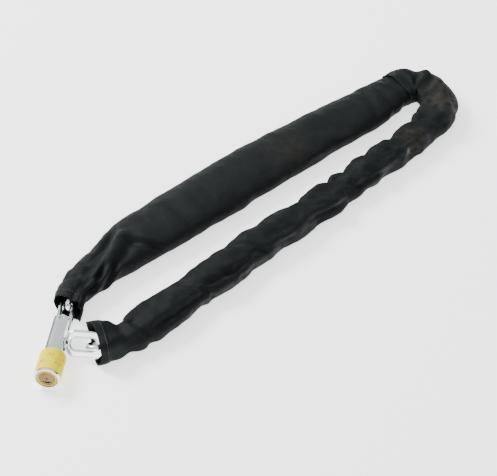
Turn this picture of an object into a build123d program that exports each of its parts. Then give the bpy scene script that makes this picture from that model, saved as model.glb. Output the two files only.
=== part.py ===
from build123d import *

import os
from math import acos, atan2, cos, degrees, hypot, pi, radians, sin

# Chain lock: a cylinder lock head riveted to a sleeved chain, closed by a stud on the end link.
# The loop lies on the ground along +X, with the lock head at the -X end. Millimetres, +Z up.

# Lock head, measured along its axis from the key face
HEAD_ANGLE = 38.0  # of the head's axis, from +X
HEAD_X, HEAD_Y = -315.0, -48.0  # centre of the key face
BARREL_R = 13.0
LABEL_T = 0.25
AXIS_Z = BARREL_R + LABEL_T  # the label rests on the ground
BARREL_LEN = 31.0
HEAD_LEN = 78.0
NECK_W = 14.5
RIM_R = 10.9  # mouth of the head, where the dust seal sits
HOUSING_R = 10.2
HOUSING_BACK = 22.0
CHAMBER_R = 5.6
CHAMBER_END = 42.0

# Cylinder
PLUG_R = 8.35
PLUG_BORE = 8.4
PLUG_FRONT = 0.5
PLUG_BACK = 21.0
CAVITY_R = 7.0
DISC_COUNT = 6
DISC_T = 2.0
DISC_PITCH = 2.7
KEYWAY_R = 5.9
KEYWAY_CUT = 3.6  # from the axis to the straight side of the crescent
TOOTH = 1.3

# Bolt: an oblique cam face pushes it forward by BOLT_STROKE in a quarter turn
BOLT_STROKE = 5.0
CAM_R = 5.0
CAM_TILT = BOLT_STROKE / (CAM_R * pi / 2)
CAM_AT = 28.5
CAM_GAP = 0.2
BOLT_FRONT = 33.5
BLADE_W, BLADE_H = 4.2, 7.0
BLADE_TIP = 43.3

# End link: stud, shoulder and ring
STUD_AT = 52.0
STUD_R = 5.5
STUD_TIP = 4.0  # past the head's axis
GROOVE_W, GROOVE_D = 5.2, 2.3
SLOT_FROM, SLOT_TO = 43.6, 57.8
SLOT_HALF_H = 5.85
RING_LEAN = 40.0  # from upright, away from the key end
RING_LEFT, RING_RIGHT = 9.5, 47.5
RING_H = 27.0
RING_T = 7.0
RING_ROUND = 2.0
OPENING_LEFT, OPENING_RIGHT = 13.8, 38.8
OPENING_H = 11.4

# Chain
WIRE = 5.5
LINK_IN = 37.6  # inside length
LINK_GAP = 7.2  # inside width
SLACK = 0.9
RIVET_AT, RIVET_R = 73.5, 2.5
FORK_FROM, FORK_HALF_H = 64.8, 3.15
CONNECTOR_IN, CONNECTOR_GAP = 30.0, 12.0
CONNECTOR_X, CONNECTOR_Y = -260.5, -41.0  # its outer end, inside the ring
CONNECTOR_HEADING = -30.0
CONNECTOR_ROLL = -30.0
LEFT_HEADINGS = [HEAD_ANGLE, 22, 14, 6, 2, 1, 0, -1, -2, -3, -3, -4, -4, -4, -4]
RIGHT_HEADINGS = [-8, 3, 5, 4, 3, 2, 2, 2, 2, 2, 2, 2, 2]
HEAD_LINKS = 3  # links that swing with the head

# Sleeve
CLOTH = 1.2
BEND_X, BEND_Y, BEND_R = 264.0, -5.0, 36.5
BEND_W, BEND_H = 44.0, 27.0
SPLIT_X = -164.5  # where the mouth part folds from the rest

os.makedirs("parts", exist_ok=True)


def save(piece, name):
    piece.part.label = name
    export_step(piece.part, f"parts/{name}.step")


# ---------------------------------------------------------------- the head's own plane
def head_plane(along, side=0.0):
    """A plane across the head: x to its left, y up, z away from the key face."""
    a = radians(HEAD_ANGLE)
    origin = (HEAD_X + along * cos(a) - side * sin(a), HEAD_Y + along * sin(a) + side * cos(a), AXIS_Z)
    return Plane(origin=origin, x_dir=(-sin(a), cos(a), 0), z_dir=(cos(a), sin(a), 0))


def side_plane(side):
    """A plane parallel to the neck's flats: x along the head, y up, z to the head's right."""
    a = radians(HEAD_ANGLE)
    origin = (HEAD_X - side * sin(a), HEAD_Y + side * cos(a), AXIS_Z)
    return Plane(origin=origin, x_dir=(cos(a), sin(a), 0), z_dir=(sin(a), -cos(a), 0))


def disc(radius, start, end, hole=0.0):
    """A washer or cylinder across the head's axis, added to the open part."""
    with BuildSketch(head_plane(start)) as ring:
        Circle(radius)
        if hole:
            Circle(hole, mode=Mode.SUBTRACT)
    extrude(ring.sketch, amount=end - start)


def bore(radius, start, end):
    with BuildSketch(head_plane(start)) as opening:
        Circle(radius)
    extrude(opening.sketch, amount=end - start, mode=Mode.SUBTRACT)


# ---------------------------------------------------------------- lock head
with BuildPart() as lock_body:
    disc(BARREL_R, 0, HEAD_LEN)
    chamfer(lock_body.edges().filter_by(GeomType.CIRCLE), 0.8)
    for side in (-1, 1):
        with BuildSketch(head_plane(BARREL_LEN)):
            with Locations((side * (NECK_W / 2 + BARREL_R), 0)):
                Rectangle(2 * BARREL_R, 3 * BARREL_R)
        extrude(amount=HEAD_LEN, mode=Mode.SUBTRACT)
    bore(RIM_R, 0, 3.0)
    bore(HOUSING_R, 3.0, HOUSING_BACK)
    bore(CHAMBER_R, HOUSING_BACK, CHAMBER_END)
    with BuildSketch(head_plane(CHAMBER_END)):
        Rectangle(BLADE_W + 0.4, BLADE_H + 0.4)
    extrude(amount=STUD_AT - CHAMBER_END, mode=Mode.SUBTRACT)
    with BuildSketch(side_plane(4.6)):
        with Locations(((SLOT_FROM + SLOT_TO) / 2, 0)):
            SlotOverall(SLOT_TO - SLOT_FROM, 2 * SLOT_HALF_H)
    extrude(amount=20, mode=Mode.SUBTRACT)
    with BuildSketch(side_plane(-NECK_W / 2 + 2.6)):
        with Locations(((SLOT_FROM + SLOT_TO) / 2, 0)):
            SlotOverall(SLOT_TO - SLOT_FROM, 2 * SLOT_HALF_H)
    extrude(amount=6, taper=-42, mode=Mode.SUBTRACT)
    with BuildSketch(head_plane(FORK_FROM)):
        Rectangle(3 * BARREL_R, 2 * FORK_HALF_H)
    extrude(amount=HEAD_LEN, mode=Mode.SUBTRACT)
    with BuildSketch(Plane(head_plane(RIVET_AT).origin).offset(-2 * BARREL_R)):
        Circle(RIVET_R)
    extrude(amount=4 * BARREL_R, mode=Mode.SUBTRACT)
    with BuildSketch(Plane(head_plane(50, 6.0).origin)):
        Circle(0.9)
    extrude(amount=BARREL_R, mode=Mode.SUBTRACT)
save(lock_body, "lock_body")

with BuildPart() as label_band:
    disc(BARREL_R + LABEL_T, 2.4, 30.4, BARREL_R)
save(label_band, "label_band")

with BuildPart() as dust_seal:
    disc(RIM_R, 0.9, 3.0, HOUSING_R)
save(dust_seal, "dust_seal")

with BuildPart() as cylinder_housing:
    disc(HOUSING_R, 0.4, HOUSING_BACK, PLUG_BORE)
    bore(PLUG_BORE, PLUG_BACK, HOUSING_BACK)
    with BuildSketch(Plane(head_plane(12).origin).offset(PLUG_BORE - 0.4)):
        Circle(1.2)
    extrude(amount=BARREL_R, mode=Mode.SUBTRACT)
save(cylinder_housing, "cylinder_housing")

with BuildPart() as housing_pin:
    with BuildSketch(Plane(head_plane(12).origin).offset(PLUG_BORE + 0.05)):
        Circle(1.15)
    extrude(amount=HOUSING_R - PLUG_BORE - 0.1)
save(housing_pin, "housing_pin")

with BuildPart() as stop_pin:
    with BuildSketch(Plane(head_plane(50, 6.0).origin)):
        Circle(0.9)
    extrude(amount=10.9)
save(stop_pin, "stop_pin")

with BuildPart() as chain_rivet:
    with BuildSketch(Plane(head_plane(RIVET_AT).origin).offset(-11.6)):
        Circle(RIVET_R)
    extrude(amount=2 * 11.6)
save(chain_rivet, "chain_rivet")

COILS = 4
SPRING_WIRE, SPRING_R = 0.8, 4.6
SPRING_FROM, SPRING_TO = BOLT_FRONT + 0.45, CHAMBER_END - 0.45
with BuildPart() as bolt_spring:
    with BuildLine():
        Helix((SPRING_TO - SPRING_FROM) / COILS, SPRING_TO - SPRING_FROM, SPRING_R)
    with BuildSketch(Plane(origin=(SPRING_R, 0, 0), z_dir=(0, 1, 0))):
        Circle(SPRING_WIRE / 2)
    sweep(is_frenet=True)
bolt_spring.part = head_plane(SPRING_FROM).location * bolt_spring.part
bolt_spring.part.label = "bolt_spring"
export_step(bolt_spring.part, "parts/bolt_spring.step")


# ---------------------------------------------------------------- cylinder
def keyway(depth_from, depth):
    """The crescent keyway at the foot of the plug, with a toothed straight side."""
    with BuildSketch(head_plane(depth_from)) as crescent:
        Circle(KEYWAY_R)
        with Locations((0, KEYWAY_R - KEYWAY_CUT)):
            Rectangle(3 * KEYWAY_R, 2 * KEYWAY_R, mode=Mode.SUBTRACT)
        for k in (-1, 0, 1):
            with Locations((k * 2.5, -KEYWAY_CUT)):
                Rectangle(TOOTH, TOOTH, rotation=45, mode=Mode.SUBTRACT)
    extrude(crescent.sketch, amount=depth, mode=Mode.SUBTRACT)


with BuildPart() as cylinder_plug:
    disc(PLUG_R, PLUG_FRONT, PLUG_BACK)
    bore(CAVITY_R, 2.2, PLUG_BACK)
    keyway(0, 3)
    bore(1.1, PLUG_FRONT, 1.3)
save(cylinder_plug, "cylinder_plug")

for number in range(DISC_COUNT):
    with BuildPart() as detainer:
        start = 2.4 + number * DISC_PITCH
        disc(CAVITY_R - 0.05, start, start + DISC_T)
        keyway(start, DISC_T)
    save(detainer, f"detainer_disc_{number + 1}")


def cam_plane(ahead):
    """The oblique plane between the drum and the bolt, tilted across the head."""
    square = head_plane(CAM_AT + ahead)
    return Plane(origin=square.origin, z_dir=square.z_dir - square.x_dir * CAM_TILT)


with BuildPart() as cam_drum:
    disc(CAVITY_R - 0.05, 2.4 + DISC_COUNT * DISC_PITCH, PLUG_BACK)
    disc(CAM_R, PLUG_BACK, CAM_AT + CAM_R)
    split(bisect_by=cam_plane(0), keep=Keep.BOTTOM)
save(cam_drum, "cam_drum")

with BuildPart() as locking_bolt:
    disc(CAM_R + 0.45, CAM_AT - CAM_R, BOLT_FRONT)
    split(bisect_by=cam_plane(CAM_GAP), keep=Keep.TOP)
    with BuildSketch(head_plane(BOLT_FRONT)):
        Rectangle(BLADE_W, BLADE_H)
    extrude(amount=BLADE_TIP - BOLT_FRONT)
save(locking_bolt, "locking_bolt")


# ---------------------------------------------------------------- end link
def stud_plane():
    """x along the stud, away from the head; y up the leaning ring; z out of its face."""
    a = radians(HEAD_ANGLE)
    lean = radians(RING_LEAN)
    out = (sin(a), -cos(a), 0)
    face = (-cos(lean) * cos(a), -cos(lean) * sin(a), sin(lean))
    return Plane(origin=head_plane(STUD_AT).origin, x_dir=out, z_dir=face)


with BuildPart() as end_link:
    with BuildSketch(stud_plane().offset(-RING_T / 2)):
        with Locations(((RING_LEFT + RING_RIGHT) / 2, 0)):
            RectangleRounded(RING_RIGHT - RING_LEFT, RING_H, 8)
        with Locations(((OPENING_LEFT + OPENING_RIGHT) / 2, 0)):
            RectangleRounded(OPENING_RIGHT - OPENING_LEFT, OPENING_H, 5, mode=Mode.SUBTRACT)
    extrude(amount=RING_T)
    broad_faces = end_link.faces().sort_by(SortBy.AREA)[-2:]
    fillet(broad_faces.edges(), RING_ROUND)
    with BuildSketch(Plane(stud_plane().origin, x_dir=stud_plane().x_dir, z_dir=stud_plane().y_dir)):
        with BuildLine():
            Polyline(
                (-STUD_TIP, 0), (-STUD_TIP, STUD_R - 1.2), (-STUD_TIP + 1.2, STUD_R),
                (9.0, STUD_R), (11.5, 3.2), (13.2, 3.2), (13.2, 0), close=True,
            )
        make_face()
        with Locations((0, STUD_R - GROOVE_D / 2)):
            Rectangle(GROOVE_W, GROOVE_D, mode=Mode.SUBTRACT)
    revolve(axis=Axis(stud_plane().origin, stud_plane().x_dir))
save(end_link, "end_link")


# ---------------------------------------------------------------- chain
def link(name, x, y, heading, roll, inside=LINK_IN, gap=LINK_GAP):
    """A welded oval link centred at x, y; roll 0 lies flat and 90 stands upright."""
    h, r = radians(heading), radians(roll)
    along = (cos(h), sin(h), 0)
    normal = (sin(h) * sin(r), -cos(h) * sin(r), cos(r))
    plane = Plane(origin=(x, y, AXIS_Z), x_dir=along, z_dir=normal)
    half, radius = (inside - gap) / 2, (gap + WIRE) / 2
    with BuildPart() as piece:
        with BuildLine(plane):
            near = Line((-half, radius), (half, radius))
            ThreePointArc((half, radius), (half + radius, 0), (half, -radius))
            Line((half, -radius), (-half, -radius))
            ThreePointArc((-half, -radius), (-half - radius, 0), (-half, radius))
        start = Plane(origin=near @ 0.5, z_dir=near % 0.5)
        with BuildSketch(start):
            Circle(WIRE / 2)
        sweep()
    save(piece, name)


def walk(x, y, heading, length):
    h = radians(heading)
    return x + length * cos(h), y + length * sin(h)


LONG = LINK_IN + WIRE  # wire centre to wire centre
SHORT = LONG - 2 * (WIRE + SLACK)  # what an odd link adds to the chain

# Left run, from the rivet: odd links lie flat and even ones stand
first_wire = RIVET_AT - RIVET_R - 0.2 - WIRE / 2
x, y = walk(HEAD_X, HEAD_Y, HEAD_ANGLE, first_wire + WIRE + SLACK)
joints = [(x, y)]
for number, heading in enumerate(LEFT_HEADINGS, start=1):
    span = SHORT if number % 2 else LONG
    nx, ny = walk(x, y, heading, span)
    link(f"chain_link_{number:02d}", (x + nx) / 2, (y + ny) / 2, heading, 0 if number % 2 else 90)
    x, y = nx, ny
    joints.append((x, y))
left_end = (x, y)
left_count = len(LEFT_HEADINGS)

# Right run, from the connector back to the bend; its links turn slowly from leaning to upright
x, y = walk(CONNECTOR_X, CONNECTOR_Y, CONNECTOR_HEADING, CONNECTOR_IN / 2 + WIRE)
link("connector_link", x, y, CONNECTOR_HEADING, CONNECTOR_ROLL, CONNECTOR_IN, CONNECTOR_GAP)
x, y = walk(x, y, CONNECTOR_HEADING, (CONNECTOR_IN + WIRE) / 2)
total = left_count + 3 + len(RIGHT_HEADINGS)
for step, heading in enumerate(RIGHT_HEADINGS):
    number = total - step
    span = SHORT if number % 2 else LONG
    nx, ny = walk(x, y, heading, span)
    eased = (90 + CONNECTOR_ROLL) * (1 - (step + 1) / (len(RIGHT_HEADINGS) + 1))
    roll = eased if number % 2 else eased - 90
    link(f"chain_link_{number:02d}", (x + nx) / 2, (y + ny) / 2, heading, roll)
    x, y = nx, ny
right_end = (x, y)

# The bend: three links as the short sides and top of a trapezoid
gap_x, gap_y = right_end[0] - left_end[0], right_end[1] - left_end[1]
across = degrees(atan2(gap_y, gap_x))
splay = degrees(acos((hypot(gap_x, gap_y) - SHORT) / 2 / LONG))
x, y = left_end
for offset, turn in enumerate((splay, 0, -splay), start=1):
    number = left_count + offset
    heading = across + turn
    nx, ny = walk(x, y, heading, SHORT if number % 2 else LONG)
    link(f"chain_link_{number:02d}", (x + nx) / 2, (y + ny) / 2, heading, 0 if number % 2 else 90)
    x, y = nx, ny
swing_at = joints[HEAD_LINKS]
print(f"swing axis {swing_at[0]:.3f} {swing_at[1]:.3f}, left end {left_end}, right end {right_end}")
print(f"bend closes to {x - right_end[0]:.4f} {y - right_end[1]:.4f}, links {total}")


# ---------------------------------------------------------------- sleeve
def tube(stations, name):
    """A cloth tube lofted through (x, y, heading, width, height), flat where it lies."""
    with BuildPart() as piece:
        for inset, mode in ((0.0, Mode.ADD), (CLOTH, Mode.SUBTRACT)):
            with BuildPart(mode=Mode.PRIVATE) as layer:
                for sx, sy, heading, width, height in stations:
                    h = radians(heading)
                    plane = Plane(
                        origin=(sx, sy, height / 2 - 0.8), x_dir=(-sin(h), cos(h), 0), z_dir=(cos(h), sin(h), 0)
                    )
                    with BuildSketch(plane):
                        Ellipse(width / 2 - inset, height / 2 - inset)
                loft(ruled=True)
                with BuildSketch(Plane.XY.offset(inset)):
                    Rectangle(2000, 2000)
                extrude(amount=-100, mode=Mode.SUBTRACT)
            add(layer.part, mode=mode)
    save(piece, name)


MOUTH = walk(HEAD_X, HEAD_Y, HEAD_ANGLE, 99)
tube([(*MOUTH, 38, 42, 27), (-209, 29, 26, 42, 27), (SPLIT_X - 0.2, 38.5, 10, 47, 27)], "sleeve_mouth")
tube(
    [(SPLIT_X + 0.2, 38.5, 10, 47, 27), (-118, 43, 2, 62, 27), (-18, 44, 0, 66, 26), (92, 41, -2, 64, 26),
     (186, 35, -4, 54, 26), (BEND_X, BEND_Y + BEND_R, 0, BEND_W, BEND_H)],
    "sleeve_left",
)
tube(
    [(-250.5, -47, -30, 48, 32), (-235, -54, -20, 46, 31), (-211, -57, -5, 40, 28), (-119, -53, 2, 41, 27),
     (-19, -50, 1, 42, 27), (92, -47, 1, 40, 27), (186, -44, 1, 40, 27),
     (BEND_X, BEND_Y - BEND_R, 0, BEND_W, BEND_H)],
    "sleeve_right",
)

with BuildPart() as sleeve_bend:
    for inset, mode in ((0.0, Mode.ADD), (CLOTH, Mode.SUBTRACT)):
        with BuildPart(mode=Mode.PRIVATE) as layer:
            with BuildSketch(Plane((BEND_X, BEND_Y + BEND_R, BEND_H / 2 - 0.8), (0, 1, 0), (1, 0, 0))):
                Ellipse(BEND_W / 2 - inset, BEND_H / 2 - inset)
            revolve(axis=Axis((BEND_X, BEND_Y, 0), (0, 0, -1)), revolution_arc=180)
            with BuildSketch(Plane.XY.offset(inset)):
                Rectangle(2000, 2000)
            extrude(amount=-100, mode=Mode.SUBTRACT)
        add(layer.part, mode=mode)
save(sleeve_bend, "sleeve_bend")
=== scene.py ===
"""Looks for a chain lock: a square-link chain in a loose woven sleeve, closed by a cylinder lock head.

Lengths in the tables and constants below are millimetres in the part's own frame.
"""

import math

import bmesh
import bpy
import numpy as np
from mathutils import Matrix, Vector, noise


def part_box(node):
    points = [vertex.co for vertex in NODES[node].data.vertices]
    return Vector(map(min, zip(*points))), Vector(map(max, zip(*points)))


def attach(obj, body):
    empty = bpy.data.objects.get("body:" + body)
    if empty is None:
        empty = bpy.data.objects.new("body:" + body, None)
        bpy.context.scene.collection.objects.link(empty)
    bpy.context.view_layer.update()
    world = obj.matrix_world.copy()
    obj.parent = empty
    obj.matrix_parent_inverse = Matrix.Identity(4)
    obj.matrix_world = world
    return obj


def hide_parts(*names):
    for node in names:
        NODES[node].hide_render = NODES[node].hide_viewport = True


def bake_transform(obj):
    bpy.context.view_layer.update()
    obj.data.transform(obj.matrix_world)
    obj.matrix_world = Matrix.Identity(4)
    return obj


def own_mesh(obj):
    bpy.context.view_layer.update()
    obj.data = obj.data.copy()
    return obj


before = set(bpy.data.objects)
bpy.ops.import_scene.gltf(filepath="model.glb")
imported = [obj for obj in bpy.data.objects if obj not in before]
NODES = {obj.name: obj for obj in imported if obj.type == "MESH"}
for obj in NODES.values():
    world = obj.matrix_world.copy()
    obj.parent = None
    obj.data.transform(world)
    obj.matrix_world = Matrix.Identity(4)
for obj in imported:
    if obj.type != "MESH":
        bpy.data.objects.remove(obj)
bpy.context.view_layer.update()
MM = 0.001


def add(name, data):
    """A new object in the scene."""
    thing = bpy.data.objects.new(name, data)
    bpy.context.collection.objects.link(thing)
    return thing


def add_bmesh(name, bm, finish):
    """A new object made from a bmesh, with one material."""
    mesh = bpy.data.meshes.new(name)
    bm.to_mesh(mesh)
    bm.free()
    mesh.materials.append(finish)
    return add(name, mesh)


# ---------------------------------------------------------------- camera
LOOK_AT = Vector((-19, -25, 0)) * MM
AZIMUTH, ELEVATION = math.radians(45), math.radians(40)
DISTANCE = 1.95  # metres
forward = Vector((
    math.cos(ELEVATION) * math.sin(AZIMUTH),
    math.cos(ELEVATION) * math.cos(AZIMUTH),
    -math.sin(ELEVATION),
))
camera = add("camera", bpy.data.cameras.new("camera"))
camera.data.lens = 134.0
camera.data.sensor_width = 36.0
camera.location = LOOK_AT - DISTANCE * forward
camera.rotation_euler = forward.to_track_quat("-Z", "Y").to_euler()
bpy.context.scene.camera = camera


# ---------------------------------------------------------------- materials
def material(name):
    """A new node material: (material, its nodes, a link function, its main shader)."""
    m = bpy.data.materials.new(name)
    m.use_nodes = True
    nodes, links = m.node_tree.nodes, m.node_tree.links
    return m, nodes, links.new, nodes["Principled BSDF"]


def node(nodes, kind, **settings):
    """A new node; each setting is one of its inputs or, failing that, one of its properties."""
    n = nodes.new(kind)
    for key, value in settings.items():
        if key in n.inputs:
            n.inputs[key].default_value = value
        else:
            setattr(n, key, value)
    return n


def ramp(nodes, stops):
    """A colour ramp through (position, colour) stops; a colour of one number is a grey."""
    n = nodes.new("ShaderNodeValToRGB")
    while len(n.color_ramp.elements) < len(stops):
        n.color_ramp.elements.new(0.5)
    for element, (at, colour) in zip(n.color_ramp.elements, stops):
        element.position = at
        element.color = (*colour, 1) if len(colour) == 3 else (colour[0],) * 3 + (1,)
    return n


def vary(nodes, link, source, low, high, socket):
    """Lets a texture move a socket between two values."""
    n = nodes.new("ShaderNodeMapRange")
    n.inputs["To Min"].default_value = low
    n.inputs["To Max"].default_value = high
    link(source.outputs["Fac"], n.inputs["Value"])
    link(n.outputs["Result"], socket)


def bumps(nodes, link, height, strength, distance):
    """A bump node raised by a texture's output."""
    n = node(nodes, "ShaderNodeBump", Strength=strength, Distance=distance)
    link(height, n.inputs["Height"])
    return n


def tinted(name, kind, stops, rough=None, **settings):
    """A material coloured by one texture: (material, nodes, link function, shader, texture)."""
    m, nodes, link, shader = material(name)
    if rough:
        shader.inputs["Roughness"].default_value = rough
    texture = node(nodes, kind, **settings)
    link(nodes.new("ShaderNodeTexCoord").outputs["Object"], texture.inputs["Vector"])
    tint = ramp(nodes, stops)
    link(texture.outputs["Fac"], tint.inputs["Fac"])
    link(tint.outputs["Color"], shader.inputs["Base Color"])
    return m, nodes, link, shader, texture


def metal(name, dark, light, rough, scale, scratch):
    """Plated or turned metal: a cloudy colour, fine scratches, and roughness that varies."""
    stops = [(0.3, dark), (0.7, light)]
    m, nodes, link, shader, cloud = tinted(name, "ShaderNodeTexNoise", stops, Scale=scale, Detail=4.0)
    shader.inputs["Metallic"].default_value = 1.0
    vary(nodes, link, cloud, rough * 0.7, rough * 1.4, shader.inputs["Roughness"])
    stretched = node(nodes, "ShaderNodeMapping", Scale=(1.0, 1.0, 8.0))
    link(nodes.new("ShaderNodeTexCoord").outputs["Object"], stretched.inputs["Vector"])
    lines = node(nodes, "ShaderNodeTexNoise", Scale=scale * 14, Detail=3.0)
    link(stretched.outputs["Vector"], lines.inputs["Vector"])
    scratches = bumps(nodes, link, lines.outputs["Fac"], scratch, 0.00005)
    link(scratches.outputs["Normal"], shader.inputs["Normal"])
    return m


chrome = metal("chrome", (0.7, 0.74, 0.77), (0.92, 0.94, 0.95), 0.15, 30, 0.015)
steel = metal("steel", (0.42, 0.44, 0.47), (0.68, 0.7, 0.72), 0.3, 70, 0.25)
gold = metal("gold", (0.4, 0.27, 0.03), (0.56, 0.4, 0.07), 0.3, 90, 0.2)
brass = metal("brass", (0.15, 0.095, 0.04), (0.26, 0.175, 0.08), 0.42, 120, 0.3)

seal, nodes, link, shader, grime = tinted(
    "seal", "ShaderNodeTexNoise", [(0.35, (0.012, 0.012, 0.013)), (0.75, (0.05, 0.05, 0.052))],
    rough=0.6, Scale=300.0, Detail=5.0,
)
rubber = bumps(nodes, link, grime.outputs["Fac"], 0.3, 0.0001)
link(rubber.outputs["Normal"], shader.inputs["Normal"])

label, nodes, link, shader, wear = tinted(
    "label", "ShaderNodeTexNoise",
    [(0.25, (0.55, 0.42, 0.0)), (0.42, (0.84, 0.7, 0.0)), (0.75, (0.9, 0.78, 0.0))],
    Scale=160.0, Detail=6.0,
)
shader.inputs["Specular IOR Level"].default_value = 0.06
vary(nodes, link, wear, 0.25, 0.5, shader.inputs["Roughness"])

ink = tinted(
    "ink", "ShaderNodeTexNoise", [(0.3, (0.75, 0.16, 0.02)), (0.7, (0.62, 0.08, 0.02))],
    rough=0.45, Scale=500.0, Detail=4.0,
)[0]

thread = tinted(
    "thread", "ShaderNodeTexWave", [(0.2, (0.02, 0.022, 0.023)), (0.8, (0.07, 0.075, 0.078))],
    rough=0.6, Scale=900.0, Distortion=1.0,
)[0]

# Woven nylon: two crossed sets of yarns on the cloth's own flat coordinates
nylon, nodes, link, shader = material("nylon")
shader.inputs["Sheen Weight"].default_value = 0.015
shader.inputs["Specular IOR Level"].default_value = 0.11
shader.inputs["Sheen Roughness"].default_value = 0.45
shader.inputs["Sheen Tint"].default_value = (0.75, 0.9, 0.95, 1)
flat_place = node(nodes, "ShaderNodeUVMap", uv_map="cloth")
place = nodes.new("ShaderNodeTexCoord")


def cloth_noise(scale, detail, rough=0.5):
    """A noise texture in the cloth's own space."""
    n = node(nodes, "ShaderNodeTexNoise", Scale=scale, Detail=detail, Roughness=rough)
    link(place.outputs["Object"], n.inputs["Vector"])
    return n


def joined(operation, first, second):
    """Two outputs put through one sum or product."""
    n = node(nodes, "ShaderNodeMath", operation=operation)
    link(first, n.inputs[0])
    link(second, n.inputs[1])
    return n


yarns = []
for direction in "XY":
    yarns.append(node(nodes, "ShaderNodeTexWave", Scale=0.36, Distortion=0.6, bands_direction=direction))
    yarns[-1].inputs["Detail Scale"].default_value = 2.0
    link(flat_place.outputs["UV"], yarns[-1].inputs["Vector"])
weave = joined("MULTIPLY", yarns[0].outputs["Fac"], yarns[1].outputs["Fac"])
fibre = cloth_noise(900.0, 3.0)
cloudy = cloth_noise(26.0, 5.0, 0.65)
blotches = cloth_noise(110.0, 6.0, 0.7)
rumple = cloth_noise(85.0, 4.0, 0.55)
yarn = ramp(nodes, [(0.1, (0.0028, 0.0038, 0.0042)), (0.8, (0.0115, 0.015, 0.0168))])
link(weave.outputs["Value"], yarn.inputs["Fac"])
tone = ramp(nodes, [(0.3, (0.62, 0.66, 0.64)), (0.72, (1.15, 1.15, 1.12))])
link(cloudy.outputs["Fac"], tone.inputs["Fac"])
dyed = node(nodes, "ShaderNodeMix", data_type="RGBA", blend_type="MULTIPLY")
dyed.inputs["Factor"].default_value = 1.0
link(yarn.outputs["Color"], dyed.inputs["A"])
link(tone.outputs["Color"], dyed.inputs["B"])


def patch(colour_in, centre, radius, colour, amount):
    """Fades the cloth in blotches towards a worn colour around a place."""
    away = node(nodes, "ShaderNodeVectorMath", operation="DISTANCE")
    away.inputs[1].default_value = Vector(centre) * MM
    link(place.outputs["Object"], away.inputs[0])
    near = node(nodes, "ShaderNodeMapRange")
    near.inputs["From Min"].default_value = radius * MM
    near.inputs["From Max"].default_value = radius * 0.5 * MM
    near.inputs["To Max"].default_value = amount
    link(away.outputs["Value"], near.inputs["Value"])
    blotch = ramp(nodes, [(0.36, (0.0,)), (0.62, (1.0,))])
    link(blotches.outputs["Fac"], blotch.inputs["Fac"])
    broken = joined("MULTIPLY", near.outputs["Result"], blotch.outputs["Color"])
    mix = node(nodes, "ShaderNodeMix", data_type="RGBA")
    mix.inputs["B"].default_value = (*colour, 1)
    link(broken.outputs["Value"], mix.inputs["Factor"])
    link(colour_in, mix.inputs["A"])
    return mix.outputs["Result"]


# Worn places: centre, radius, colour and amount
WORN = [
    ((300, -18, 22), 30, (0.026, 0.024, 0.02), 0.8),
    ((283, -34, 20), 26, (0.03, 0.027, 0.022), 0.8),
    ((211, -52, 20), 26, (0.022, 0.02, 0.015), 0.7),
    ((193, -57, 17), 7, (0.16, 0.155, 0.15), 0.9),
    ((95, 28, 20), 34, (0.016, 0.0155, 0.0115), 0.6),
]
colour = dyed.outputs["Result"]
for worn in WORN:
    colour = patch(colour, *worn)
link(colour, shader.inputs["Base Color"])
vary(nodes, link, cloudy, 0.5, 0.75, shader.inputs["Roughness"])
height = joined("ADD", weave.outputs["Value"], fibre.outputs["Fac"])
weave_bump = bumps(nodes, link, height.outputs["Value"], 0.45, 0.00025)
rumple_bump = bumps(nodes, link, rumple.outputs["Fac"], 0.35, 0.0025)
link(weave_bump.outputs["Normal"], rumple_bump.inputs["Normal"])
link(rumple_bump.outputs["Normal"], shader.inputs["Normal"])

FINISH = {
    "lock_body": chrome, "end_link": chrome, "connector_link": chrome, "label_band": label,
    "dust_seal": seal, "cylinder_housing": gold, "cylinder_plug": brass, "cam_drum": steel,
    "locking_bolt": steel, "chain_rivet": steel, "stop_pin": steel, "housing_pin": steel,
}
for name, part in NODES.items():
    finish = FINISH.get(name)
    if name.startswith("chain_link"):
        finish = chrome
    if name.startswith("detainer"):
        finish = brass
    if finish:
        part.data.materials.clear()
        part.data.materials.append(finish)


# ---------------------------------------------------------------- cloth tools
GIRTH = 23.5  # length of cloth per radian round the sleeve
AROUND = 96  # points round the sleeve
ROW_STEP = 1.7  # distance between rows along the sleeve
WALL = 1.1  # thickness of the cloth
SPLINE_STEPS = 24  # points between two stations
FOLD_FADE = 9  # how fast a crease dies out past its ends
CREST, CREST_AT, CREST_WIDTH = 0.6, 1.7, 1.3  # the ridge beside a crease, as shares of its depth and width
CHAIN_TOP = 24.2  # height of the cloth where it rests on an upright link
LINK_HALF, DRAPE = 4.5, 0.9  # half the width of that rest, and how steeply the cloth falls from it
SETTLE, MOUTH_SETTLE = 0.4, 1.8  # how far the underside is pressed down, all along and at a mouth
FLAT_END, MOUTH_END = 16, 14  # how far the flattened mouth and the mouth's outline reach in
SOFT_FLOOR, SOFT_REST = 0.6, 0.5  # rounding where the cloth meets the floor and the chain


def lengths_along(points):
    """The distance of each point along a line of points."""
    return np.concatenate([[0], np.cumsum(np.linalg.norm(np.diff(points, axis=0), axis=1))])


def spline(stations, step):
    """Evenly spaced rows on a smooth curve through the stations, with the distance along it."""
    p = np.array(stations, float)
    ends = np.vstack([2 * p[0] - p[1], p, 2 * p[-1] - p[-2]])
    t = np.linspace(0, 1, SPLINE_STEPS, endpoint=False)[:, None]
    rows = []
    for a, b, c, d in zip(ends, ends[1:], ends[2:], ends[3:]):
        square, cube = 2 * a - 5 * b + 4 * c - d, 3 * b - a - 3 * c + d
        rows.append(0.5 * (2 * b + (c - a) * t + square * t**2 + cube * t**3))
    rows = np.vstack([*rows, p[-1:]])
    run = lengths_along(rows[:, :2])
    at = np.linspace(0, run[-1], int(run[-1] / step))
    return at, np.array([np.interp(at, run, column) for column in rows.T]).T


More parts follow.
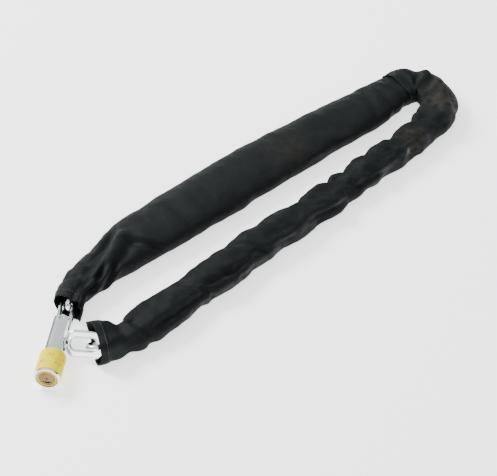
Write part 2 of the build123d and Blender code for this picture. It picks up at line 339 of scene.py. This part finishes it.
def fold(s, a, start, end, width, depth):
    """A crease along a line on the flat cloth: a valley with a ridge beside it, fading at its ends.

    The line runs between two (distance along, degrees round) places.
    """
    p = np.array([start[0], math.radians(start[1]) * GIRTH])
    q = np.array([end[0], math.radians(end[1]) * GIRTH])
    line = q - p
    length = np.linalg.norm(line)
    line = line / length
    ds, da = s - p[0], a * GIRTH - p[1]
    along = ds * line[0] + da * line[1]
    across = -ds * line[1] + da * line[0]
    beyond = np.maximum(np.maximum(-along, along - length), 0)
    fade = np.exp(-((beyond / FOLD_FADE) ** 2))
    ridge = CREST * np.exp(-(((across - CREST_AT * width) / (CREST_WIDTH * width)) ** 2))
    return depth * (ridge - np.exp(-((across / width) ** 2))) * fade


def rumples(s, a, scale, seed, ridged=False):
    """Smooth or ridged noise on the flat cloth; it closes round the sleeve."""
    out = np.empty(s.shape)
    for i in np.ndindex(s.shape):
        across, up = math.cos(a[i]) * GIRTH / scale, math.sin(a[i]) * GIRTH / scale
        n = noise.noise(Vector((s[i] / scale + seed, across + 3 * seed, up)))
        out[i] = 0.5 - 2 * abs(n) if ridged else 2 * n
    return out


def grid_normals(p):
    """Outward directions on a grid of rows that close round the sleeve."""
    ds = np.gradient(p, axis=0)
    da = (np.roll(p, -1, axis=1) - np.roll(p, 1, axis=1)) / 2
    n = np.cross(da, ds)
    return n / np.maximum(np.linalg.norm(n, axis=2, keepdims=True), 1e-9)


def tube_mesh(name, outer, inner, s):
    """A closed thin-walled tube from an outer and an inner grid of points."""
    rings, around = outer.shape[:2]
    bm = bmesh.new()
    uv = bm.loops.layers.uv.new("cloth")
    skins = [[[bm.verts.new(Vector(c) * MM) for c in ring] for ring in grid] for grid in (outer, inner)]
    pitch = 2 * math.pi * GIRTH / around

    def face(corners, places, flip):
        if flip:
            corners, places = corners[::-1], places[::-1]
        f = bm.faces.new(corners)
        f.smooth = True
        for loop, place in zip(f.loops, places):
            loop[uv].uv = place

    for inside, grid in enumerate(skins):
        for i in range(rings - 1):
            for j in range(around):
                k = (j + 1) % around
                here, there = j * pitch, (j + 1) * pitch
                quad = [grid[i][j], grid[i][k], grid[i + 1][k], grid[i + 1][j]]
                face(quad, [(s[i], here), (s[i], there), (s[i + 1], there), (s[i + 1], here)], inside)
    for i in (0, rings - 1):
        for j in range(around):
            k = (j + 1) % around
            here, there = j * pitch, (j + 1) * pitch
            quad = [skins[0][i][j], skins[1][i][j], skins[1][i][k], skins[0][i][k]]
            face(quad, [(s[i], here), (s[i] + 1, here), (s[i] + 1, there), (s[i], there)], i)
    bm.normal_update()
    return add_bmesh(name, bm, nylon)


def middle(name):
    """The middle of a node's box, seen from above."""
    low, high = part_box(name)
    return ((Vector(low) + Vector(high)) / 2 / MM)[:2]


CHAIN = [name for name in sorted(NODES) if name.startswith("chain_link")] + ["connector_link"]
CHAIN_AT = np.array([middle(name) for name in CHAIN])


def above_chain(x, y):
    """The least height of the cloth over a place: it rests on the links that stand upright."""
    away = np.full(x.shape, 1e3)
    for p, q in zip(CHAIN_AT, CHAIN_AT[1:]):
        line = q - p
        t = np.clip(((x - p[0]) * line[0] + (y - p[1]) * line[1]) / (line @ line), 0, 1)
        away = np.minimum(away, np.hypot(x - p[0] - t * line[0], y - p[1] - t * line[1]))
    return CHAIN_TOP - DRAPE * np.maximum(away - LINK_HALF, 0)


def sleeve_surface(stations, detail, mouth_reach):
    """The outside of a crumpled sleeve: (distance along each row, grid of points).

    A station is (x, y, width, height); the first one is at the sleeve's mouth.
    """
    s, rows = spline(stations, ROW_STEP)
    tangent = np.gradient(rows[:, :2], axis=0)
    tangent /= np.linalg.norm(tangent, axis=1, keepdims=True)
    for _ in range(3):
        tangent[1:-1] = (tangent[:-2] + 2 * tangent[1:-1] + tangent[2:]) / 4
    tangent /= np.linalg.norm(tangent, axis=1, keepdims=True)
    S, A = np.meshgrid(s, np.linspace(0, 2 * math.pi, AROUND, endpoint=False), indexing="ij")
    half_w, half_h = rows[:, 2, None] / 2, rows[:, 3, None] / 2
    across = np.sign(np.cos(A)) * np.abs(np.cos(A)) ** 0.9 * half_w
    up = np.sign(np.sin(A)) * np.abs(np.sin(A)) ** 0.85 * half_h
    n_across, n_up = np.cos(A) / half_w, np.sin(A) / half_h
    size = np.hypot(n_across, n_up)
    d = detail(S, A)
    across = across + d * n_across / size
    pressed = MOUTH_SETTLE * np.exp(-S / FLAT_END) * np.minimum(np.sin(A), 0)
    z = up + d * n_up / size + half_h - SETTLE + pressed
    floor = 0.35 + 0.25 * (1 + np.sin(S / 9 + 3 * A)) * (1 - np.exp(-S / FLAT_END))
    z = floor + np.logaddexp(0, (z - floor) / SOFT_FLOOR) * SOFT_FLOOR
    reach = mouth_reach(A) * np.exp(-S / MOUTH_END)
    x = rows[:, 0, None] - tangent[:, 1, None] * across - tangent[:, 0, None] * reach
    y = rows[:, 1, None] + tangent[:, 0, None] * across - tangent[:, 1, None] * reach
    lift = above_chain(x, y) - z
    z = z + np.where(up > 0, np.logaddexp(0, lift / SOFT_REST) * SOFT_REST, 0)
    return s, np.stack([x, y, z], axis=2)


HEM_WIDTH = 10.5
HEM_OUT, HEM_IN = 0.75, 0.2  # how far the turned edge stands out from the cloth, and in
STITCH_FROM_EDGE, STITCH_LIFT = 2.4, 0.85
STITCH_PITCH, STITCH_LENGTH = 3.4, 2.3
THREAD_HALF_WIDTH, THREAD_HALF_HEIGHT = 0.00028, 0.00022  # metres


def hem(name, s, points):
    """The turned-over edge at a mouth, with its row of stitches."""
    last = int(np.searchsorted(s, HEM_WIDTH))
    normals = grid_normals(points)
    outer = points[: last + 1] + normals[: last + 1] * HEM_OUT
    outer[-1] = points[last] + normals[last] * 0.05
    outer[:, :, 2] = np.maximum(outer[:, :, 2], 0.1)
    inner = points[: last + 1] - normals[: last + 1] * HEM_IN
    inner[:, :, 2] = np.maximum(inner[:, :, 2], 0.25)
    band = tube_mesh(name, outer, inner, s[: last + 1])
    row = int(np.searchsorted(s, HEM_WIDTH - STITCH_FROM_EDGE))
    ring = points[row] + normals[row] * STITCH_LIFT
    ring = np.vstack([ring, ring[:1]])
    run = lengths_along(ring)
    bm = bmesh.new()
    for at in np.arange(1.5, run[-1] - 1, STITCH_PITCH):
        here = Vector([np.interp(at, run, c) for c in ring.T]) * MM
        there = Vector([np.interp(at + STITCH_LENGTH, run, c) for c in ring.T]) * MM
        axis = there - here
        turn = axis.to_track_quat("X", "Z").to_matrix().to_4x4()
        shape = Matrix.Diagonal((axis.length / 2, THREAD_HALF_WIDTH, THREAD_HALF_HEIGHT, 1))
        bmesh.ops.create_uvsphere(
            bm, u_segments=8, v_segments=6, radius=1,
            matrix=Matrix.Translation((here + there) / 2) @ turn @ shape,
        )
    for f in bm.faces:
        f.smooth = True
    return band, add_bmesh(name + "_stitches", bm, thread)


def thin(points, s):
    """The inside of the cloth, which is thinner towards the mouth."""
    wall = WALL * (1 - 0.75 * np.exp(-s / 12))
    inside = points - grid_normals(points) * wall[:, None, None]
    inside[:, :, 2] = np.maximum(inside[:, :, 2], points[:, :, 2].min() + 0.3)
    return inside


def creased(d, S, A, folds):
    """Adds each fold in turn to a surface detail."""
    for crease in folds:
        d = d + fold(S, A, *crease)
    return d


# ---------------------------------------------------------------- left run, from its mouth to the far bend
LEFT = [
    (-232, 17, 30, 26.5), (-225.5, 22, 32, 26.5), (-217, 27, 33, 26), (-206, 31, 37, 26),
    (-191, 34.5, 42, 27), (-173, 37.5, 46, 27), (-150, 39.5, 53, 27), (-126, 42, 61, 28),
    (-101, 43, 67, 28), (-54, 42.5, 71, 27.5), (-3, 43, 73, 27), (48, 42, 72, 27), (101, 40.5, 70, 27),
    (154, 37, 67, 27), (195, 33.5, 65, 27), (230, 31.5, 60, 27), (257, 31, 54, 27), (275, 31.5, 49, 26),
    (288, 31, 42, 24),
]
LEFT_FOLDS = [
    ((36, 108), (96, 62), 4.5, 5.2), ((24, 36), (34, 100), 3.6, 2.8), ((44, 30), (54, 84), 3.6, 2.4),
    ((120, 150), (108, 106), 5, 3.6), ((108, 100), (78, 132), 5, 2.6), ((30, 160), (56, 122), 3.2, 4.0),
    ((50, 185), (68, 142), 3.2, 3.2), ((0, 112), (40, 128), 3.6, 2.8), ((4, 150), (36, 160), 3.2, 2.4),
    ((172, 96), (182, 168), 6, 1.1), ((236, 150), (262, 196), 7, 1.2), ((388, 96), (408, 128), 8, 1.6),
    ((330, 170), (372, 190), 7, 1.3), ((470, 70), (452, 150), 5, 1.0), ((488, 55), (478, 180), 4.5, 1.3),
    ((506, 60), (498, 205), 4, 1.3),
]


def left_detail(S, A):
    """The height of the left run's rumples and creases; its flat middle is smoother."""
    body = np.clip((S - 70) / 80, 0, 1)
    d = 0.75 * rumples(S, A, 42, 1.3) + 0.35 * rumples(S, A, 15, 4.1)
    d = d + (1 - 0.6 * body) * 0.9 * rumples(S, A, 17, 2.2, ridged=True)
    return creased(d, S, A, LEFT_FOLDS)


def left_mouth(A):
    """How far the mouth's edge stands out at each angle."""
    return 2 - 7 * np.cos(A) + 9 * np.exp(-(((A - 3.3) / 0.4) ** 2))


s, points = sleeve_surface(LEFT, left_detail, left_mouth)
left_sleeve = tube_mesh("left_sleeve", points, thin(points, s), s)
left_hem, left_stitches = hem("left_hem", s, points)

# ---------------------------------------------------------------- right run and the far bend, from the collar
RIGHT = [
    (-251, -43, 48, 32), (-239.5, -49.5, 45.5, 31), (-228.5, -55.5, 34, 27), (-217, -59, 33, 27),
    (-207, -59, 40, 27), (-193, -58.5, 43, 28), (-173, -58, 44, 28), (-155, -57, 42, 27),
    (-137, -55.5, 37, 26), (-127, -55, 35, 26), (-113, -55, 41, 27), (-84, -55, 45, 28), (-65, -54, 40, 27),
    (-55, -53, 37, 26), (-34, -52, 43, 28), (-13, -51, 38, 27), (16, -50, 42, 28), (35, -50, 39, 27),
    (44, -50, 35, 26), (67, -50.5, 41, 28), (85, -50, 37, 27), (92, -49.5, 34, 26), (107, -49.5, 38, 27),
    (121, -49, 34, 26), (140, -47.5, 39, 28), (159, -46, 33, 26), (179, -45, 38, 28), (198, -44.5, 33, 26),
    (219, -43, 40, 28), (238, -42, 36, 27), (257, -39.5, 41, 28), (277, -31.5, 43, 28), (293, -18, 42, 28),
    (302.5, 0, 42, 28), (302.5, 16, 47, 28), (294.5, 27.5, 51, 28), (278, 31, 52, 28),
]
# Slanting notches across the top: distance along and depth
NOTCHES = [(199, 3.0), (247, 2.2), (301, 3.0), (348, 3.0), (376, 2.6), (418, 3.0), (455, 2.8), (496, 3.0)]
RIGHT_FOLDS = [
    ((43, 84), (47, 190), 4.6, 4.2), ((27, 60), (30, 200), 5, 1.8), ((128, 152), (62, 138), 5, 2.8),
    ((118, 64), (138, 196), 4.6, 3.8), ((190, 138), (144, 128), 5, 2.4), ((162, 120), (176, 178), 5, 2.6),
    *[((at + 16, 150), (at - 3, 42), 4.6, depth) for at, depth in NOTCHES],
    ((250, 168), (214, 140), 5, 1.8), ((330, 172), (285, 150), 5, 2.0), ((405, 165), (372, 148), 5, 1.8),
    ((524, 10), (548, 120), 4.5, 2.6), ((552, 20), (538, 175), 4.5, 2.2), ((560, 15), (588, 140), 4, 2.4),
    ((592, 10), (602, 185), 4.6, 3.6), ((607, 30), (618, 150), 4, 1.6),
]


def right_detail(S, A):
    """The height of the gathered right run's rumples, lengthwise folds and creases."""
    d = 1.0 * rumples(S, A, 34, 7.7) + 1.0 * rumples(S, A, 22, 5.2, ridged=True)
    d = d + 0.35 * rumples(S, A, 10, 9.4)
    d = d + 0.9 * np.cos(5 * A + S / 37 + 1.4 * np.sin(S / 61))
    return creased(d, S, A, RIGHT_FOLDS)


def right_mouth(A):
    """How far the collar's edge stands out at each angle."""
    return 3.0 * np.cos(A) + 1.2 * np.sin(3 * A) + 5 * np.exp(-(((A - 3.9) / 0.7) ** 2)) - 1.5


s, points = sleeve_surface(RIGHT, right_detail, right_mouth)
right_sleeve = tube_mesh("right_sleeve", points, thin(points, s), s)
right_hem, right_stitches = hem("right_hem", s, points)

# ---------------------------------------------------------------- generic marks printed on the label
HEAD = math.radians(38)  # the way the lock head points, seen from above
HEAD_AT = Vector((-315, -48, 13.25)) * MM  # the middle of its key face
AXIS = Vector((math.cos(HEAD), math.sin(HEAD), 0))
SIDE = Vector((-math.sin(HEAD), math.cos(HEAD), 0))
UP = Vector((0, 0, 1))
MARK_TOP, MARK_BASE = 13.36, 13.2  # radii of a mark's two faces
MARKS = [(11, 30), (11, 100), (20, 64), (20, 134), (11, -40), (20, -6)]  # distance along, degrees round
BAR_PITCH, BAR_WIDTH, BAR_SLANT = 9, 4, 2  # degrees
BAR_LENGTHS = (3.4, 2.2, 2.9)


def on_barrel(along, turn, radius):
    """A place on the barrel: turn is in degrees from the top towards the end link."""
    t = math.radians(turn)
    return HEAD_AT + AXIS * along * MM + (UP * math.cos(t) - SIDE * math.sin(t)) * radius * MM


def mark(bm, outline):
    """A thin raised shape on the label from (along, turn) corners."""
    top = [bm.verts.new(on_barrel(x, t, MARK_TOP)) for x, t in outline]
    low = [bm.verts.new(on_barrel(x, t, MARK_BASE)) for x, t in outline]
    bm.faces.new(top)
    bm.faces.new(low[::-1])
    for i in range(len(top)):
        j = (i + 1) % len(top)
        bm.faces.new([top[j], top[i], low[i], low[j]])


bm = bmesh.new()
for x, start in MARKS:
    for bar, length in enumerate(BAR_LENGTHS):
        turn = start + BAR_PITCH * bar
        near_end = [(x, turn), (x, turn + BAR_WIDTH)]
        far_end = [(x + length, turn + BAR_WIDTH + BAR_SLANT), (x + length, turn + BAR_SLANT)]
        mark(bm, near_end + far_end)
bmesh.ops.recalc_face_normals(bm, faces=bm.faces)
marks = add_bmesh("label_marks", bm, ink)

# ---------------------------------------------------------------- the bolt's spring, which follows the lock head
TURNS, PER_TURN = 4, 28
COIL_START, COIL_LENGTH, COIL_RADIUS, COIL_WIRE = 34.35, 6.8, 4.6, 0.4
coil = bpy.data.curves.new("coil", "CURVE")
coil.dimensions = "3D"
coil.bevel_depth = COIL_WIRE * MM
coil.bevel_resolution = 4
helix = coil.splines.new("POLY")
helix.points.add(TURNS * PER_TURN)
for i, point in enumerate(helix.points):
    t = 2 * math.pi * i / PER_TURN
    spot = HEAD_AT + AXIS * (COIL_START + COIL_LENGTH * i / (TURNS * PER_TURN)) * MM
    spot += (SIDE * math.cos(t) + UP * math.sin(t)) * COIL_RADIUS * MM
    point.co = (*spot, 1)
coil_object = add("coil", coil)
bpy.context.view_layer.update()
mesh = bpy.data.meshes.new_from_object(coil_object.evaluated_get(bpy.context.evaluated_depsgraph_get()))
bpy.data.objects.remove(coil_object)
mesh.name = "spring"
mesh.materials.clear()
mesh.materials.append(steel)
for polygon in mesh.polygons:
    polygon.use_smooth = True
spring = add("spring", mesh)

# ---------------------------------------------------------------- what each piece follows
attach(spring, "lock_head")
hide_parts("bolt_spring")
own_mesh(spring)
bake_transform(left_sleeve)
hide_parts("sleeve_mouth", "sleeve_left")
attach(right_sleeve, "chain_and_sleeve")
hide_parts("sleeve_right", "sleeve_bend")
for piece in (left_hem, left_stitches, marks):
    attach(piece, "lock_head")
for piece in (right_hem, right_stitches):
    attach(piece, "chain_and_sleeve")

# ---------------------------------------------------------------- floor and light, in metres
bpy.ops.mesh.primitive_plane_add(size=30, location=(0, 0, 0))
floor = bpy.context.object
floor.name = "floor"
paper, nodes, link, shader = material("paper")
shader.inputs["Roughness"].default_value = 0.7
shader.inputs["Base Color"].default_value = (0.92, 0.93, 0.93, 1)
shader.inputs["Emission Color"].default_value = (1, 1, 1, 1)
shader.inputs["Emission Strength"].default_value = 1.5
floor.data.materials.append(paper)

world = bpy.data.worlds.new("studio")
bpy.context.scene.world = world
world.use_nodes = True
nodes, link = world.node_tree.nodes, world.node_tree.links.new
sky_axes = nodes.new("ShaderNodeSeparateXYZ")
link(nodes.new("ShaderNodeTexCoord").outputs["Generated"], sky_axes.inputs[0])
sky = ramp(nodes, [(0.0, (0.044, 0.055, 0.062)), (0.18, (0.2, 0.22, 0.235)), (0.45, (1.0, 1.0, 1.0))])
link(sky_axes.outputs["Z"], sky.inputs["Fac"])
link(sky.outputs["Color"], nodes["Background"].inputs["Color"])
nodes["Background"].inputs["Strength"].default_value = 0.98


def area_light(name, place, size, power):
    """A rectangular lamp that faces the lock."""
    lamp = add(name, bpy.data.lights.new(name, "AREA"))
    lamp.data.shape = "RECTANGLE"
    lamp.data.size, lamp.data.size_y = size
    lamp.data.energy = power
    lamp.location = place
    lamp.rotation_euler = (LOOK_AT - Vector(place)).to_track_quat("-Z", "Y").to_euler()


area_light("key", (-0.5, 2.1, 2.0), (1.0, 1.0), 150)
area_light("top", (0.2, 0.3, 2.6), (2.2, 2.2), 9)
area_light("front", (-2.2, -1.4, 1.3), (1.2, 0.9), 12)
